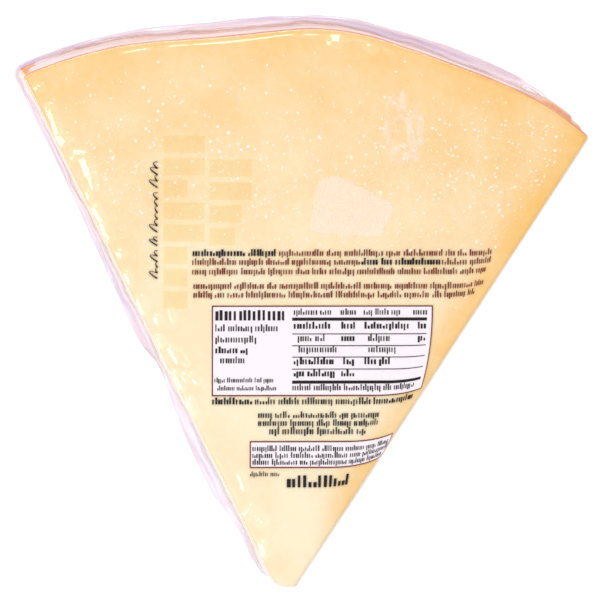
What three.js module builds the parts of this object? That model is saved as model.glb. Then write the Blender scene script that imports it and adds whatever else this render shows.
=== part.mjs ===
// A wedge of pecorino romano, sealed in clear shrink film.
//
// The wedge is a sixth of a thick slice of a wheel of hard sheep's milk cheese. Its two large faces and its two
// straight walls are cut paste, its curved wall is rind, and its point is blunt. The film is wrapped over the
// right wall, where it has no seam. Along the left wall and the rind its two edges are sealed to each other and
// shrunk back to a narrow, uneven fin half way up the wall, with shallow pleats running away from it.
//
// The cheese and its film are one closed solid. Seen from above, the wheel's axis is at the origin of the plan,
// the rind is towards +Y and the blunt tip points to -Y. The finished group is moved so that the centre of the
// wedge's box is over the origin, and the wedge lies on its lower cut face at z = 0.

import * as THREE from "three";
import { toCreasedNormals } from "three/addons/utils/BufferGeometryUtils.js";

// Driving dimensions, in millimetres and degrees.
const WHEEL_RADIUS = 142.5;
const WEDGE_ANGLE = 59.3;
const WEDGE_HEIGHT = 62;
const TIP_CUT = 4.4; // from the wheel's axis to the blunt tip
const RIND_SKEW = 4.4; // how much further out than the middle the rind stands at the left corner
const RIND_BELLY = 0.8; // how far the rind swells half way up
const RIND_SPAN = { from: 0.98, top: 1.04, until: 1.96, to: 2.02 }; // where it does, in places along the walls

// The wire's long, shallow waves across the upper cut face: lengths of a wave's radian along X and Y.
const FACE_WAVES = [
  { height: 0.1, alongX: 17, alongY: 41, phase: 0 },
  { height: 0.1, alongX: -60, alongY: 23, phase: 1.3 },
];

// The rind is pressed a little out of round. Angles are from the wedge's middle, positive to the right.
const RIND_DENTS = [
  { angle: -10, out: -1.9, spread: 6 },
  { angle: 2, out: 1.7, spread: 5.5 },
  { angle: 24, out: 1.5, spread: 6 },
];

// The four walls in order round the plan, anticlockwise from above. Steps are the lengths that a wall is cut
// into, corner is the plan radius where it meets the next wall, and edge is the radius of its long edges.
const WALLS = {
  right: { steps: 22, corner: 1.6, edge: 1.2 },
  rind: { steps: 52, corner: 3.4, edge: 1.5 },
  left: { steps: 54, corner: 2.2, edge: 2.4 },
  tip: { steps: 2, corner: 2.0, edge: 1.5 },
};
const CORNER_STEPS = 4;

// The fin: two films sealed together. It reaches out from the wall by FIN_REACH, and further over each swell,
// which rises, stays and falls again. Places along the walls run from 1 to 2 over the rind, right to left, and
// from 2 to 3 down the left wall.
const FIN_REACH = 0.95;
const FIN_SPAN = { from: 1.04, top: 1.1, until: 2.95, to: 2.99 };
const FIN_SWELLS = [
  { from: 1.09, top: 1.14, until: 1.35, to: 1.45, out: 2.1 },
  { from: 1.5, top: 1.65, until: 1.66, to: 1.86, out: 2.2 },
  { from: 2.22, top: 2.5, until: 2.52, to: 2.57, out: 1.9 },
  { from: 2.61, top: 2.74, until: 2.82, to: 2.93, out: 2.1 },
];
const FIN_HEIGHT = 31;
const FIN_WANDER = 1.8; // how far the fin strays up and down the wall
const FIN_WANDER_WAVES = 1.7; // over two walls

// Pleats in the film, as waves along the walls that have the fin. They die away above and below it.
const PLEATS = [
  { length: 9.5, depth: 0.16, phase: 0.4 },
  { length: 15, depth: 0.2, phase: 1.9 },
  { length: 27, depth: 0.24, phase: 4.1 },
];
const PLEAT_FADE = 13;

// Heights at which the walls are cut. Near the fin they follow it, and share says how much of its reach they have.
const LEVELS_BELOW = [9, 19];
const LEVELS_AT_FIN = [
  { above: -5, share: 0 },
  { above: -2, share: 0.12 },
  { above: -0.9, share: 0.55 },
  { above: -0.35, share: 1 },
  { above: 0.35, share: 1 },
  { above: 0.9, share: 0.55 },
  { above: 2, share: 0.12 },
  { above: 5, share: 0 },
];
const LEVELS_ABOVE = [43, 53];
const EDGE_STEPS = 3;
const FACE_RINGS = [0.94, 0.8, 0.55, 0.28]; // the upper face's inner rings, as shares of the way out from its hub

const CREASE_ANGLE = THREE.MathUtils.degToRad(35); // sharper edges than this are shaded as edges
const HALF_ANGLE = THREE.MathUtils.degToRad(WEDGE_ANGLE / 2);

const { lerp, smoothstep } = THREE.MathUtils;

const bell = (distance, spread) => Math.exp(-((distance / spread) ** 2) / 2);

// 0 outside a span, 1 between its top and until, with a smooth rise and fall.
const within = (x, span) => smoothstep(x, span.from, span.top) * (1 - smoothstep(x, span.until, span.to));

const sumOf = (items, value) => items.reduce((sum, item) => sum + value(item), 0);

// Distance from the wheel's axis to the rind. turn is in radians from the middle, positive to the right.
function rindRadius(turn) {
  const degrees = THREE.MathUtils.radToDeg(turn);
  const dents = sumOf(RIND_DENTS, (d) => d.out * bell(degrees - d.angle, d.spread));
  return WHEEL_RADIUS - RIND_SKEW * (turn / HALF_ANGLE) + dents;
}

function polar(radius, turn) {
  return new THREE.Vector2(radius * Math.sin(turn), radius * Math.cos(turn));
}

// The rind's curve in plan between the two cut walls, from right to left.
class RindCurve extends THREE.Curve {
  getPoint(t, target = new THREE.Vector2()) {
    const turn = lerp(HALF_ANGLE, -HALF_ANGLE, t);
    return target.copy(polar(rindRadius(turn), turn));
  }
}

// The plan's four walls as curves that meet at sharp corners.
function sharpWalls() {
  const tipRadius = TIP_CUT / Math.cos(HALF_ANGLE);
  const tipRight = polar(tipRadius, HALF_ANGLE);
  const tipLeft = polar(tipRadius, -HALF_ANGLE);
  const rind = new RindCurve();
  return {
    right: new THREE.LineCurve(tipRight, rind.getPoint(0)),
    rind,
    left: new THREE.LineCurve(rind.getPoint(1), tipLeft),
    tip: new THREE.LineCurve(tipLeft, tipRight),
  };
}

// The points of the plan, each with its place along the walls and the radius of the long edge there.
function planOutline() {
  const curves = sharpWalls();
  const names = Object.keys(WALLS);
  const points = [];
  names.forEach((name, index) => {
    const before = WALLS[names.at(index - 1)];
    const next = names[(index + 1) % names.length];
    const curve = curves[name];
    const length = curve.getLength();
    const start = before.corner / length;
    const end = 1 - WALLS[name].corner / length;
    for (let i = 0; i <= WALLS[name].steps; i++) {
      const t = lerp(start, end, i / WALLS[name].steps);
      points.push({ at: curve.getPoint(t), place: index + t, edge: WALLS[name].edge });
    }
    const nextCurve = curves[next];
    const round = new THREE.QuadraticBezierCurve(
      curve.getPoint(end),
      curve.getPoint(1),
      nextCurve.getPoint(WALLS[name].corner / nextCurve.getLength()),
    );
    for (let i = 1; i < CORNER_STEPS; i++) {
      const share = i / CORNER_STEPS;
      const edge = lerp(WALLS[name].edge, WALLS[next].edge, share);
      const place = index + lerp(end, 1, share);
      points.push({ at: round.getPoint(share), place, edge });
    }
  });
  addNormals(points);
  return points;
}

// Gives each point of the plan its outward direction and its distance round the plan.
function addNormals(points) {
  let around = 0;
  points.forEach((point, i) => {
    const last = points.at(i - 1).at;
    const next = points[(i + 1) % points.length].at;
    point.out = new THREE.Vector2(next.y - last.y, last.x - next.x).normalize();
    around += point.at.distanceTo(last);
    point.around = around;
  });
}

// How far the fin stands out at a place along the walls.
function finReach(place) {
  const swells = sumOf(FIN_SWELLS, (swell) => swell.out * within(place, swell));
  return (FIN_REACH + swells) * within(place, FIN_SPAN);
}

function finHeight(place) {
  return FIN_HEIGHT + FIN_WANDER * Math.sin(Math.PI * FIN_WANDER_WAVES * place);
}

function pleats(point, z) {
  const waves = sumOf(PLEATS, (p) =>
    p.depth * Math.sin((2 * Math.PI * point.around) / p.length + p.phase),
  );
  return waves * within(point.place, FIN_SPAN) * Math.exp(-Math.abs(z - FIN_HEIGHT) / PLEAT_FADE);
}

// How far the wall stands out of the plan at a height, without its fin.
function wallRelief(point, z) {
  const belly = RIND_BELLY * (1 - (2 * (z / WEDGE_HEIGHT) - 1) ** 2);
  return belly * within(point.place, RIND_SPAN) + pleats(point, z);
}

function faceWave(x, y) {
  return sumOf(FACE_WAVES, (w) => w.height * Math.sin(x / w.alongX + y / w.alongY + w.phase));
}

// One ring of the wall: every point of the plan, moved out and set at its height.
function wallRing(outline, place) {
  return outline.map((point) => {
    const { out, z } = place(point);
    return new THREE.Vector3(point.at.x + point.out.x * out, point.at.y + point.out.y * out, z);
  });
}

// The rounded edge between a wall and a face, from the wall to the face. zOf gives z from the distance that a
// point still has to the face.
function edgeRings(outline, zOf) {
  const rings = [];
  for (let i = 0; i <= EDGE_STEPS; i++) {
    const share = i / EDGE_STEPS;
    const turned = (share * Math.PI) / 2;
    rings.push(wallRing(outline, (point) => {
      const z = zOf(point.edge * (1 - Math.sin(turned)));
      const inset = point.edge * (1 - Math.cos(turned));
      return { out: wallRelief(point, z) * (1 - share) - inset, z };
    }));
  }
  return rings;
}

function plainRing(outline, z) {
  return wallRing(outline, (point) => ({ out: wallRelief(point, z), z }));
}

function finRing(outline, level) {
  return wallRing(outline, (point) => {
    const z = finHeight(point.place) + level.above;
    return { out: wallRelief(point, z) + finReach(point.place) * level.share, z };
  });
}

// A ring of a face: the rim drawn in towards its hub.
function faceRing(rim, hub, share) {
  return rim.map((p) => new THREE.Vector3().lerpVectors(hub, p, share));
}

function centreOf(ring) {
  const sum = ring.reduce((total, p) => total.add(p), new THREE.Vector3());
  return sum.divideScalar(ring.length);
}

// A closed solid from rings of equally many points, from the lowest to the highest, with a fan at each end.
function loft(rings, bottomHub, topHub) {
  const count = rings[0].length;
  const points = [...rings.flat(), bottomHub, topHub];
  const faces = [];
  for (let ring = 0; ring < rings.length - 1; ring++) {
    for (let i = 0; i < count; i++) {
      const here = ring * count + i;
      const next = ring * count + ((i + 1) % count);
      faces.push(here, next, next + count, here, next + count, here + count);
    }
  }
  const top = (rings.length - 1) * count;
  for (let i = 0; i < count; i++) {
    const next = (i + 1) % count;
    faces.push(points.length - 2, next, i);
    faces.push(points.length - 1, top + i, top + next);
  }
  const geometry = new THREE.BufferGeometry().setFromPoints(points);
  geometry.setIndex(faces);
  return toCreasedNormals(geometry, CREASE_ANGLE);
}

function sealedWedgeGeometry() {
  const outline = planOutline();
  const lowerEdge = edgeRings(outline, (gap) => gap).reverse();
  const upperEdge = edgeRings(outline, (gap) => WEDGE_HEIGHT - gap);
  const walls = [
    ...LEVELS_BELOW.map((z) => plainRing(outline, z)),
    ...LEVELS_AT_FIN.map((level) => finRing(outline, level)),
    ...LEVELS_ABOVE.map((z) => plainRing(outline, z)),
  ];
  const upperRim = upperEdge.at(-1);
  const hub = centreOf(upperRim);
  const face = FACE_RINGS.map((share) => faceRing(upperRim, hub, share));
  face.flat().concat(hub).forEach((p) => {
    p.z += faceWave(p.x, p.y);
  });
  return loft([...lowerEdge, ...walls, ...upperEdge, ...face], centreOf(lowerEdge[0]), hub);
}

const wedge = new THREE.Mesh(
  sealedWedgeGeometry(),
  new THREE.MeshStandardMaterial({ color: 0xfddca4, roughness: 0.35, metalness: 0 }),
);
wedge.name = "sealed_wedge";
wedge.geometry.computeBoundingBox();
const centre = wedge.geometry.boundingBox.getCenter(new THREE.Vector3());
wedge.position.set(-centre.x, -centre.y, 0);

const pack = new THREE.Group();
pack.add(wedge);

export default pack;
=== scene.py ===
"""A wedge of pecorino romano, sealed in clear printed shrink film.

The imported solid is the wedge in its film. These pieces take its place here, from the inside out: the cut
cheese with its rind, the crystals on its upper face, the pockets of air under the film, the print on the
film's inner side, the film itself with its sealed fin, and a curled flap at the fin's right end.

Two frames are used. In the plan the wheel's axis is at the origin, the rind is towards +Y and the tip
points to -Y. The print lies in a frame of its own, turned about the wheel's axis by PRINT_TURN, so that
its lines are level. Everything is in metres, apart from the tables that say millimetres.
"""

import math
import random

import bpy
import numpy as np
from bpy.props import FloatProperty, FloatVectorProperty, IntProperty, PointerProperty
from mathutils import Matrix, Vector, noise


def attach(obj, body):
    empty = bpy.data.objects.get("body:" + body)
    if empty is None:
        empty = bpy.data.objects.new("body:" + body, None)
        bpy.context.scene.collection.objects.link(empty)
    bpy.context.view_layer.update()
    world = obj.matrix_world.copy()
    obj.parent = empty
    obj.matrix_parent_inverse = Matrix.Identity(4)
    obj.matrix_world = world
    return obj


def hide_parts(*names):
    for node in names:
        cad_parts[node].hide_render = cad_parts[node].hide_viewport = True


bl_info = {
    "name": "Sealed Cheese Wedge",
    "version": (1, 0, 0),
    "blender": (4, 5, 0),
    "location": "View3D > Sidebar > Cheese",
    "description": "A wedge of hard cheese in clear printed shrink film",
    "category": "Add Mesh",
}

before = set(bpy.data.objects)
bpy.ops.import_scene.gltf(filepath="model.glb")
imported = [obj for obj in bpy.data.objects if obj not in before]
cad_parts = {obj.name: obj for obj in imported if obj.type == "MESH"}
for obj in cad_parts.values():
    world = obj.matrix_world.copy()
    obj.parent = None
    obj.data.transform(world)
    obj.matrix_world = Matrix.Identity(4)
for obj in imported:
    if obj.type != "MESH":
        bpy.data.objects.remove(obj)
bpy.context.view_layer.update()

MM = 0.001
DEGREE = math.pi / 180

# The wedge's own sizes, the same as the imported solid's. A place along the walls is from 0 to 1 on the
# right wall, to 2 on the rind, to 3 on the left wall and to 4 on the tip.
WHEEL_RADIUS = 142.5 * MM
HALF_ANGLE = 29.65 * DEGREE
SINE, COSINE = math.sin(HALF_ANGLE), math.cos(HALF_ANGLE)
WEDGE_HEIGHT = 62 * MM
TIP_CUT = 4.4 * MM
RIND_SKEW = 4.4 * MM
RIND_BELLY = 0.8 * MM
RIND_SPAN = (0.98, 1.04, 1.96, 2.02)
# Broad swellings and hollows of the rind: the angle in degrees, how far out, and the spread in degrees.
RIND_DENTS = ((-10, -1.9 * MM, 6), (2, 1.7 * MM, 5.5), (24, 1.5 * MM, 6))
# Lumps of the rind: where they rise and fall, in degrees, and how far out.
RIND_BULGES = (((22.8, 25.0, 27.2, 27.6), 1.2 * MM), ((27.8, 28.1, 28.6, 28.9), 0.6 * MM))
# Waves of the upper face: height, reach along X, reach along Y, and phase.
FACE_WAVES = ((0.1 * MM, 17 * MM, 41 * MM, 0), (0.1 * MM, -60 * MM, 23 * MM, 1.3))
WALLS = ("right", "rind", "left", "tip")
# The film's corners, where a wall meets the next, and its long edges. They are tighter than the solid's.
CORNER_RADII = {"right": 0.9 * MM, "rind": 1.3 * MM, "left": 2.5 * MM, "tip": 1.0 * MM}
EDGE_RADII = {"right": 0.8 * MM, "rind": 0.8 * MM, "left": 0.5 * MM, "tip": 0.8 * MM}
FIN_SPAN = (1.04, 1.1, 2.985, 3.0)
# How far the fin reaches out of the walls at places along them, in millimetres.
FIN_PROFILE = (
    (1.04, 1.0), (1.07, 1.6), (1.1, 2.8), (1.13, 3.3), (1.19, 3.7), (1.28, 3.9), (1.36, 3.2),
    (1.45, 2.9), (1.53, 2.5), (1.61, 3.2), (1.71, 2.8), (1.78, 2.6), (1.86, 2.0), (1.98, 1.8),
    (2.03, 1.4), (2.09, 1.5), (2.15, 1.4), (2.24, 1.6), (2.34, 2.1), (2.44, 2.6), (2.5, 2.9),
    (2.535, 2.7), (2.565, 1.2), (2.59, 1.1), (2.63, 1.9), (2.7, 3.0), (2.76, 3.3), (2.83, 3.1),
    (2.87, 1.9), (2.92, 1.2), (2.95, 1.7), (2.97, 1.5), (2.99, 0.9),
)
FIN_HEIGHT = 31 * MM
FIN_WANDER = 1.8 * MM
FIN_WANDER_WAVES = 1.7
# Pleats of the sealed walls: length, depth and phase.
PLEATS = ((9.5 * MM, 0.16 * MM, 0.4), (15 * MM, 0.2 * MM, 1.9), (27 * MM, 0.24 * MM, 4.1))
PLEAT_FADE = 13 * MM

# How far the film lies outside the solid's walls, and the cheese inside the film.
FILM_OUT = {"right": 0.6 * MM, "rind": 0.35 * MM, "left": 0.3 * MM, "tip": 0.5 * MM}
WALL_GAP = 0.14 * MM
TOP_GAP = 0.4 * MM
BOTTOM_GAP = 0.25 * MM

PRINT_TURN = 3.45 * DEGREE  # from the plan to the print, about the wheel's axis
# From the wheel's axis to the point in each cut face that is furthest from the walls.
FACE_HUB = 95 * MM


def linear(code):
    """A colour given as an sRGB hex value, as linear light."""
    channels = [int(code[i : i + 2], 16) / 255 for i in (1, 3, 5)]
    return tuple(c / 12.92 if c <= 0.04045 else ((c + 0.055) / 1.055) ** 2.4 for c in channels)


def colour_property(name, description, code):
    return FloatVectorProperty(
        name=name, description=description, subtype="COLOR", min=0, max=1, default=linear(code)
    )


def length_property(name, description, default):
    return FloatProperty(
        name=name, description=description, unit="LENGTH", subtype="DISTANCE", default=default
    )


def number_property(name, description, default):
    return FloatProperty(name=name, description=description, min=0, default=default)


# Settings that a user would change.


class CheeseSettings(bpy.types.PropertyGroup):
    mesh_size: length_property("Mesh size", "Length of a face of the cheese's mesh", 0.75 * MM)
    broken_edge: length_property("Broken edge", "How far the cheese's edges are rounded off", 0.6 * MM)
    pale_paste: colour_property("Pale paste", "The paste in the middle of the wheel", "#FCF1CD")
    # Along the right cut this colour is painted shade, not drier paste; under the rind it is the paste's
    # own deeper tone.
    deep_paste_and_shade: colour_property("Deep paste", "The drier paste under the rind and at the cut", "#F7C66C")
    dry_paste: colour_property("Dry paste", "The paste where no film clings to it", "#FFF1E0")
    rind: colour_property("Rind", "The dry outer rind", "#F0A267")
    dark_rind: colour_property("Dark rind", "Darker patches of the rind", "#CE7C4C")
    crystals: IntProperty(name="Crystals", description="Crystals on the upper face", default=2600, min=0)


class FilmSettings(bpy.types.PropertyGroup):
    fin_thickness: length_property("Fin thickness", "Thickness of the sealed fin", 0.24 * MM)
    wrinkle_depth: length_property("Wrinkle depth", "Depth of the film's wrinkles on the walls", 0.35 * MM)
    tint: colour_property("Tint", "What the film lets through", "#FDFBFE")
    haze: colour_property("Haze", "Crumpled film on the walls", "#F9E8EA")
    lilac: colour_property("Lilac", "Folds of film in the fin", "#D9D2EA")
    loose: colour_property("Loose film", "Film with air behind it", "#FFF7EC")
    roughness: number_property("Roughness", "Roughness of the taut film's gloss", 0.08)


class PrintSettings(bpy.types.PropertyGroup):
    depth: length_property("Depth", "How far the ink lies under the film's outer side", 0.1 * MM)
    white_ink: colour_property("White ink", "The opaque panels", "#FFFAFB")
    dark_ink: colour_property("Dark ink", "Rules, outlines and most of the type", "#1E1418")
    brown_ink: colour_property("Brown ink", "The type of the long paragraph", "#7A2E18")
    pale_ink: colour_property("Pale ink", "The large pale blocks", "#FFFDF5")


class StageSettings(bpy.types.PropertyGroup):
    distance: length_property("Distance", "From the camera to the wedge's upper face", 2400 * MM)
    focal_length: number_property("Focal length", "Of the camera's lens", 578.2)
    key_light: number_property("Key light", "Radiance of the large light at the left", 6)
    rim_light: number_property("Rim light", "Radiance of the light behind the rind", 7)
    room_light: number_property("Room light", "Radiance of the white room", 0.72)
    floor: colour_property("Floor", "The floor's sheet, before it is lit from below", "#A0A0A0")


# Mesh helpers.


def pick(*pieces):
    """Selects these pieces and no others. The first becomes the active one."""
    bpy.ops.object.select_all(action="DESELECT")
    for piece in pieces:
        piece.select_set(True)
    bpy.context.view_layer.objects.active = pieces[0]


def add_primitive(operator, **sizes):
    """Runs one of the operators that add a primitive, and gives its object."""
    bpy.ops.object.select_all(action="DESELECT")
    operator(**sizes)
    return bpy.context.object


def add_grid(columns, rows):
    return add_primitive(
        bpy.ops.mesh.primitive_grid_add, x_subdivisions=columns, y_subdivisions=rows, size=1
    )


def apply_modifier(piece, kind, **settings):
    """Adds a modifier to the piece with its settings, and applies it."""
    bpy.context.view_layer.objects.active = piece
    modifier = piece.modifiers.new(kind.title(), kind)
    for name, value in settings.items():
        setattr(modifier, name, value)
    bpy.ops.object.modifier_apply(modifier=modifier.name)


def get_points(piece):
    points = np.empty(len(piece.data.vertices) * 3)
    piece.data.vertices.foreach_get("co", points)
    return points.reshape(-1, 3)


def set_points(piece, points):
    piece.data.vertices.foreach_set("co", np.ravel(points))
    piece.data.update()


def set_attribute(piece, name, values):
    attribute = piece.data.attributes.new(name, "FLOAT", "POINT")
    attribute.data.foreach_set("value", np.asarray(values, np.float32))


def take_shape(piece):
    """The piece's points and faces. The piece itself is removed."""
    points = get_points(piece)
    faces = [tuple(face.vertices) for face in piece.data.polygons]
    bpy.data.objects.remove(piece)
    return points, faces


class Copies:
    """Points and faces of many shapes, gathered for one piece."""

    def __init__(self):
        self.points = []
        self.faces = []
        self.count = 0

    def add(self, points, faces):
        self.points.append(points)
        self.faces.extend(tuple(i + self.count for i in face) for face in faces)
        self.count += len(points)

    def make(self, name, material, slot, lay=None, **attributes):
        """Makes the piece, after lay has moved its points, with an attribute for each other name."""
        points = np.concatenate(self.points)
        mesh = bpy.data.meshes.new(name)
        mesh.from_pydata((lay(points) if lay else points).tolist(), [], self.faces)
        piece = bpy.data.objects.new(name, mesh)
        bpy.context.scene.collection.objects.link(piece)
        for key, values in attributes.items():
            set_attribute(piece, key, np.concatenate(values))
        turn_faces_out(piece)
        finish(piece, name, material, smooth=False)


def turn_faces_out(piece, merge=None):
    """Recalculates the piece's normals, after its doubles are merged where a distance is given."""
    pick(piece)
    bpy.ops.object.mode_set(mode="EDIT")
    bpy.ops.mesh.select_all(action="SELECT")
    if merge:
        bpy.ops.mesh.remove_doubles(threshold=merge)
    bpy.ops.mesh.normals_make_consistent(inside=False)
    bpy.ops.object.mode_set(mode="OBJECT")


def delete_faces(piece, chosen):
    """Deletes the faces for which chosen is true."""
    pick(piece)
    bpy.ops.object.mode_set(mode="EDIT")
    bpy.ops.mesh.select_mode(type="FACE")
    bpy.ops.mesh.select_all(action="DESELECT")
    bpy.ops.object.mode_set(mode="OBJECT")
    piece.data.polygons.foreach_set("select", chosen)
    bpy.ops.object.mode_set(mode="EDIT")
    bpy.ops.mesh.delete(type="FACE")
    bpy.ops.object.mode_set(mode="OBJECT")


def finish(piece, name, material, smooth=True):
    """Names the piece, gives it its finish and lets it ride with the wedge."""
    piece.name = name
    piece.data.name = name
    piece.data.materials.clear()
    piece.data.materials.append(material)
    pick(piece)
    if smooth:
        bpy.ops.object.shade_smooth()
    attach(piece, "root")


# Shader helpers.


def new_material(name):
    """A material without nodes, and its node tree."""
    material = bpy.data.materials.new(name)
    material.use_nodes = True
    material.node_tree.nodes.clear()
    return material, material.node_tree


def add_node(tree, kind, sockets=None, output=0, **settings):
    """Adds a shader node with its settings, and gives one of its outputs, if it has any.

    Each of its sockets takes a value, or a link where it is given another node's output.
    """
    node = tree.nodes.new("ShaderNode" + kind)
    for name, value in settings.items():
        setattr(node, name, value)
    for key, value in (sockets or {}).items():
        if isinstance(value, bpy.types.NodeSocket):
            tree.links.new(value, node.inputs[key])
        elif node.inputs[key].type == "RGBA":
            node.inputs[key].default_value = (*value, 1)
        else:
            node.inputs[key].default_value = value
    return node.outputs[output] if node.outputs else None


# Sockets of a Mix node that mixes colours, and its output.
SHARE, COLOUR_A, COLOUR_B, MIXED = 0, 6, 7, 2
# Sockets of a Map Range node.
RAMP = ("From Min", "From Max", "To Min", "To Max")


def mottle(tree, layers):
    """Layers of noise, added up. Each has a size, a detail, and the four values of its ramp."""
    place = add_node(tree, "TexCoord", output="Object")
    total = 0
    for size, detail, *span in layers:
        speckle = add_node(tree, "TexNoise", {"Scale": 1 / size, "Detail": detail, "Vector": place})
        ramp = {"Value": speckle, **dict(zip(RAMP, span))}
        layer = add_node(tree, "MapRange", ramp, interpolation_type="SMOOTHSTEP")
        total = add_node(tree, "Math", {0: total, 1: layer}, operation="ADD")
    return total


def fine_bump(tree, size, detail, strength, height):
    """A bump of noise whose features measure about size."""
    place = add_node(tree, "TexCoord", output="Object")
    speckle = add_node(tree, "TexNoise", {"Scale": 1 / size, "Detail": detail, "Vector": place})
    return add_node(tree, "Bump", {"Height": speckle, "Strength": strength, "Distance": height})


def milky_sheet_and_painted_light(tree, colour, onwards, painted_glow):
    """A shader for a thin milky sheet, which scatters light back and lets a share of it onwards.

    Its painted glow is an emission that stands in for the light that goes to and fro between such
    sheets, and between them and the pale paste.
    """
    back = add_node(tree, "BsdfDiffuse", {"Color": colour})
    through = add_node(tree, "BsdfTranslucent", {"Color": colour})
    sheet = add_node(tree, "MixShader", {0: onwards, 1: back, 2: through})
    light = add_node(tree, "Emission", {"Color": colour, "Strength": painted_glow})
    return add_node(tree, "AddShader", {0: sheet, 1: light})


# The plan and its relief, as functions of arrays.


def wheel_axis():
    """Where the wheel's axis meets the floor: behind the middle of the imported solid's blunt tip."""
    points = get_points(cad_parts["sealed_wedge"])
    front = points[:, 1].min()
    tip = points[points[:, 1] < front + 0.01 * MM]
    return np.array([(tip[:, 0].min() + tip[:, 0].max()) / 2, front - TIP_CUT, 0])


AXIS = wheel_axis()


def smooth(x, low, high):
    t = np.clip((x - low) / (high - low), 0, 1)
    return t * t * (3 - 2 * t)


def within(x, span):
    """0 outside a span, 1 in its middle, with a smooth rise and fall."""
    start, top, until, end = span
    return smooth(x, start, top) * (1 - smooth(x, until, end))


def grain(x, y, z):
    """Smooth noise from -1 to 1 at places given in units of its own size."""
    x, y, z = np.broadcast_arrays(x, y, z)
    places = zip(x.ravel().tolist(), y.ravel().tolist(), z.ravel().tolist())
    values = np.fromiter((noise.noise(place) for place in places), float, x.size)
    return values.reshape(x.shape)


def rind_radius(turn):
    """From the wheel's axis to the rind. turn is in radians from the middle, positive to the right."""
    degrees = turn / DEGREE
    dents = sum(
        out * np.exp(-(((degrees - angle) / spread) ** 2) / 2) for angle, out, spread in RIND_DENTS
    )
    return WHEEL_RADIUS - RIND_SKEW * turn / HALF_ANGLE + dents


def rind_belly(z):
    return RIND_BELLY * (1 - (2 * z / WEDGE_HEIGHT - 1) ** 2)


def rind_bulge(turn, z):
    """Lumps of the rind that stand out below its upper edge, at its right end."""
    out = sum(out * within(turn / DEGREE, span) for span, out in RIND_BULGES)
    return out * smooth(WEDGE_HEIGHT - z, 0.5 * MM, 3 * MM) * smooth(z, 4 * MM, 30 * MM)


def polar(radius, turn):
    return np.stack([radius * np.sin(turn), radius * np.cos(turn)], axis=-1)


def from_right(x, y):
    """How far a place in the plan is from the right cut, inwards."""
    return y * SINE - x * COSINE


def from_left(x, y):
    return y * SINE + x * COSINE


def from_rind(x, y):
    return rind_radius(np.arctan2(x, y)) - np.hypot(x, y)


def from_nearest_wall(x, y):
    return np.minimum.reduce([from_right(x, y), from_left(x, y), from_rind(x, y), y - TIP_CUT])


def print_to_plan(u, v, turn=PRINT_TURN):
    """From print coordinates to the plan."""
    return u * math.cos(turn) - v * math.sin(turn), u * math.sin(turn) + v * math.cos(turn)


def plan_to_print(x, y):
    """From the plan to print coordinates."""
    return print_to_plan(x, y, -PRINT_TURN)


class Plan:
    """Points of the film round the wedge's plan, anticlockwise from the tip's right corner.

    at and out are each point and its outward direction, place is where it is along the four walls, turn
    is its angle at the wheel's axis, around is its distance round the plan, and edge is the radius of the
    film's long edges there.
    """

    def __init__(self, steps, corner_steps):
        walls = self.sharp_walls()
        lengths = {}
        for name, wall in walls.items():
            chords = np.diff(wall(np.linspace(0, 1, 200)), axis=0)
            lengths[name] = np.linalg.norm(chords, axis=1).sum()
        at, place, edge, film_out = [], [], [], []
        for index, name in enumerate(WALLS):
            after = WALLS[(index + 1) % len(WALLS)]
            start = CORNER_RADII[WALLS[index - 1]] / lengths[name]
            end = 1 - CORNER_RADII[name] / lengths[name]
            t = np.linspace(start, end, steps[name] + 1)
            at.append(walls[name](t))
            place.append(index + t)
            edge.append(np.full(len(t), EDGE_RADII[name]))
            film_out.append(np.full(len(t), FILM_OUT[name]))
            # Round the corner to the next wall, as a parabola.
            share = np.linspace(0, 1, corner_steps + 1)[1:-1]
            first = walls[name](np.array([end]))
            corner = walls[name](np.array([1.0]))
            last = walls[after](np.array([CORNER_RADII[name] / lengths[after]]))
            s = share[:, None]
            at.append(first * (1 - s) ** 2 + corner * 2 * s * (1 - s) + last * s**2)
            place.append(index + end + (1 - end) * share)
            edge.append(EDGE_RADII[name] + (EDGE_RADII[after] - EDGE_RADII[name]) * share)
            film_out.append(FILM_OUT[name] + (FILM_OUT[after] - FILM_OUT[name]) * share)
        self.at = np.concatenate(at)
        self.place = np.concatenate(place)
        self.edge = np.concatenate(edge)
        along = np.roll(self.at, -1, axis=0) - np.roll(self.at, 1, axis=0)
        along /= np.linalg.norm(along, axis=1)[:, None]
        self.out = np.stack([along[:, 1], -along[:, 0]], axis=-1)
        self.turn = np.arctan2(self.at[:, 0], self.at[:, 1])
        self.at = self.at + self.out * np.concatenate(film_out)[:, None]
        self.around = np.cumsum(np.linalg.norm(self.at - np.roll(self.at, 1, axis=0), axis=1))

    @staticmethod
    def sharp_walls():
        tip_radius = TIP_CUT / COSINE
        tip_right, tip_left = polar(tip_radius, HALF_ANGLE), polar(tip_radius, -HALF_ANGLE)
        rind_right = polar(rind_radius(HALF_ANGLE), HALF_ANGLE)
        rind_left = polar(rind_radius(-HALF_ANGLE), -HALF_ANGLE)

        def line(start, end):
            return lambda t: start + (end - start) * t[:, None]

        def rind(t):
            turn = HALF_ANGLE * (1 - 2 * t)
            return polar(rind_radius(turn), turn)

        return {
            "right": line(tip_right, rind_right),
            "rind": rind,
            "left": line(rind_left, tip_left),
            "tip": line(tip_left, tip_right),
        }

    def ripple(self, z, size_around, size_up, seed):
        """Noise over the walls that closes on itself round the plan."""
        whole = self.around[-1]
        turn = 2 * math.pi * self.around / whole
        radius = whole / (2 * math.pi * size_around)
        return grain(radius * np.cos(turn) + seed, radius * np.sin(turn) - seed, z / size_up + 0.37 * seed)


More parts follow.
